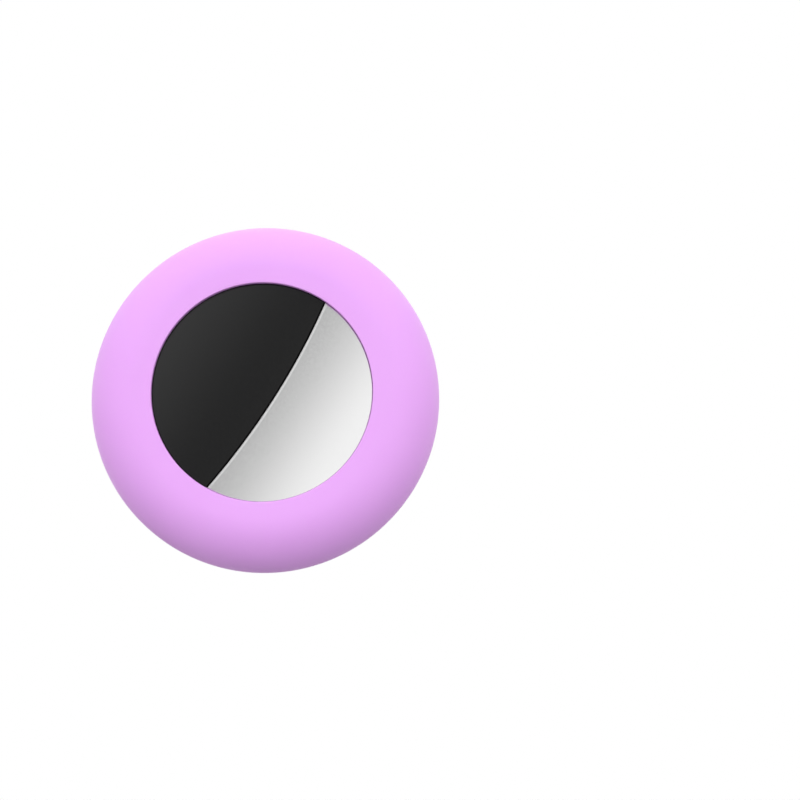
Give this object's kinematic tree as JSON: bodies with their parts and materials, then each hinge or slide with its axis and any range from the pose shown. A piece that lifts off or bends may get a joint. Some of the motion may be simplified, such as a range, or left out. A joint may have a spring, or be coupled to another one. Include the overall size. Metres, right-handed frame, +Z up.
{
  "type": "tracker tag holder",
  "caption": "Round silicone sleeve that grips a coin-cell tracker tag behind a round window, with a moulded loop on its back for a flat strap.",
  "frame": {"origin": "middle of the strap slot, on the axis of the tag", "axes": "+Z up, along the strap; -Y out of the tag's face; +X to the right seen from the front"},
  "size_m": [0.04, 0.0176, 0.04],
  "materials": {
    "silicone": "satin matte lilac silicone",
    "shell_plastic": "gloss white",
    "frame_plastic": "fine matte",
    "seal_rubber": "matte",
    "antenna_metal": "plated copper",
    "board_laminate": "solder mask",
    "chip_plastic": "fine matte",
    "shield_metal": "satin tinned",
    "coil_wire": "enamelled copper wire",
    "yoke_steel": "zinc plated",
    "magnet_metal": "nickel plated",
    "contact_metal": "gold flash",
    "cell_steel": "fine turned",
    "gasket_plastic": "matte",
    "cathode_powder": "pressed powder",
    "separator_felt": "felt",
    "anode_metal": "dull",
    "pad_foam": "open foam",
    "cover_steel": "fine satin",
    "liner_plastic": "moulded",
    "panel_gloss": "dark satin gloss"
  },
  "bodies": {
    "sleeve": {"silicone_sleeve": "silicone"},
    "tag": {"rear_shell": "shell_plastic", "inner_frame": "frame_plastic", "seal_ring": "seal_rubber", "antenna_ring": "antenna_metal", "circuit_board": "board_laminate", "board_chips": "chip_plastic", "radio_shield": "shield_metal", "voice_coil": "coil_wire", "pole_plate": "yoke_steel", "speaker_magnet": "magnet_metal", "magnet_yoke": "yoke_steel", "negative_contact": "contact_metal", "positive_contacts": "contact_metal"},
    "cell": {"cell_can": "cell_steel", "cell_cap": "cell_steel", "cell_gasket": "gasket_plastic", "cell_cathode": "cathode_powder", "cell_separator": "separator_felt", "cell_anode": "anode_metal"},
    "pad": {"pressure_pad": "pad_foam"},
    "cover": {"battery_cover": "cover_steel", "cover_liner": "liner_plastic", "cover_dark_panel": "panel_gloss"}
  },
  "joints": [
    {"name": "tag_turn", "type": "hinge", "parent": "sleeve", "child": "tag", "pos_m": [0, -0.0085, 0], "axis": [0, -1, 0], "continuous": true},
    {"name": "cover_lift", "type": "slide", "parent": "tag", "child": "pad", "axis": [0, -1, 0], "range_m": [0, 0.014]},
    {"name": "cover_twist", "type": "hinge", "parent": "pad", "child": "cover", "pos_m": [0, -0.0115, 0], "axis": [0, -1, 0], "range_deg": [-25, 0]},
    {"name": "cell_lift", "type": "slide", "parent": "tag", "child": "cell", "axis": [0, -1, 0], "range_m": [0, 0.007]}
  ],
  "couplings": [
    {"joint": "cell_lift", "follows": "cover_lift", "ratio": 0.5}
  ]
}
